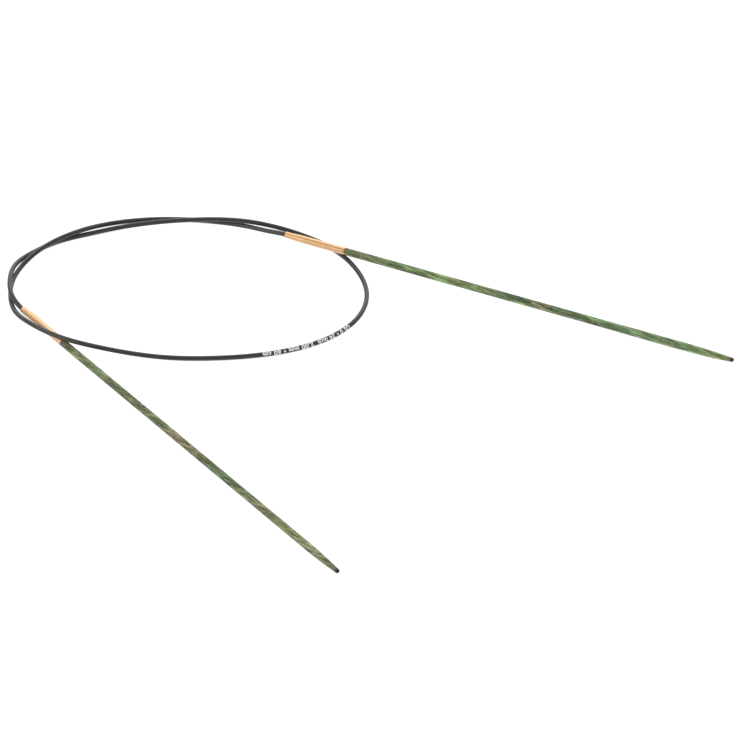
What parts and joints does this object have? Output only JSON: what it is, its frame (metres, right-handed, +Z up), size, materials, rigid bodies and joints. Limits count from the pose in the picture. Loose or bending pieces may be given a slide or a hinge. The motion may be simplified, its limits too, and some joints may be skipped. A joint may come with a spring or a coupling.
{
  "type": "circular knitting needle",
  "caption": "Slim pointed tips of green laminated wood in copper-coloured ferrules, joined by one long flexible cable lying in a loop, for knitting in the round.",
  "frame": {"origin": "middle of the box round the two needle tips, on the table they lie on", "axes": "+Z up from the table, +X along the longer side of that box, towards the right tip's point, +Y towards the cable loop"},
  "size_m": [0.1914, 0.1334, 0.0037],
  "materials": {
    "wood": "dyed laminated birch in green, olive and dark green, satin lacquer",
    "ferrule": "polished copper-coloured plating",
    "cable": "dark grey nylon, semi-gloss, with white size print",
    "adhesive": "cured epoxy, hidden in the ferrule"
  },
  "bodies": {
    "cable": {"cable_back": "cable", "cable_side": "cable", "strand_rise": "cable", "strand_fall": "cable"},
    "left_lead": {"left_bend": "cable"},
    "left_throat": {"left_neck": "cable"},
    "left_tip": {"left_shaft": "wood", "left_ferrule": "ferrule", "left_cable_end": "cable", "left_adhesive": "adhesive"},
    "right_lead": {"right_bend": "cable"},
    "right_throat": {"right_neck": "cable"},
    "right_tip": {"right_shaft": "wood", "right_ferrule": "ferrule", "right_cable_end": "cable", "right_adhesive": "adhesive"}
  },
  "joints": [
    {"name": "left_lift", "type": "hinge", "parent": "cable", "child": "left_lead", "pos_m": [-0.09696, 0.04898, 0.00189], "axis": [-0.7466, -0.6652, 0], "range_deg": [0, 12], "deforming": ["left_bend", "strand_rise", "strand_fall"]},
    {"name": "left_swing", "type": "hinge", "parent": "left_lead", "child": "left_throat", "pos_m": [-0.09542, 0.03633, 0.00205], "axis": [0, 0, 1], "range_deg": [-7, 2], "deforming": ["left_neck"]},
    {"name": "left_twist", "type": "hinge", "parent": "left_throat", "child": "left_tip", "pos_m": [-0.0929, 0.03345, 0.00098], "axis": [0.6652, -0.7466, 0], "range_deg": [-180, 180]},
    {"name": "right_lift", "type": "hinge", "parent": "cable", "child": "right_lead", "pos_m": [-0.03932, 0.06886, 0.00102], "axis": [-0.3811, -0.9245, 0], "range_deg": [0, 60], "deforming": ["right_bend"]},
    {"name": "right_swing", "type": "hinge", "parent": "right_lead", "child": "right_throat", "pos_m": [-0.02755, 0.06359, 0.00247], "axis": [0.0145, -0.006, 0.9999], "range_deg": [-12, 45], "deforming": ["right_neck"]},
    {"name": "right_twist", "type": "hinge", "parent": "right_throat", "child": "right_tip", "pos_m": [-0.0239, 0.062, 0.00282], "axis": [0.9244, -0.381, -0.0157], "range_deg": [-180, 180]}
  ]
}
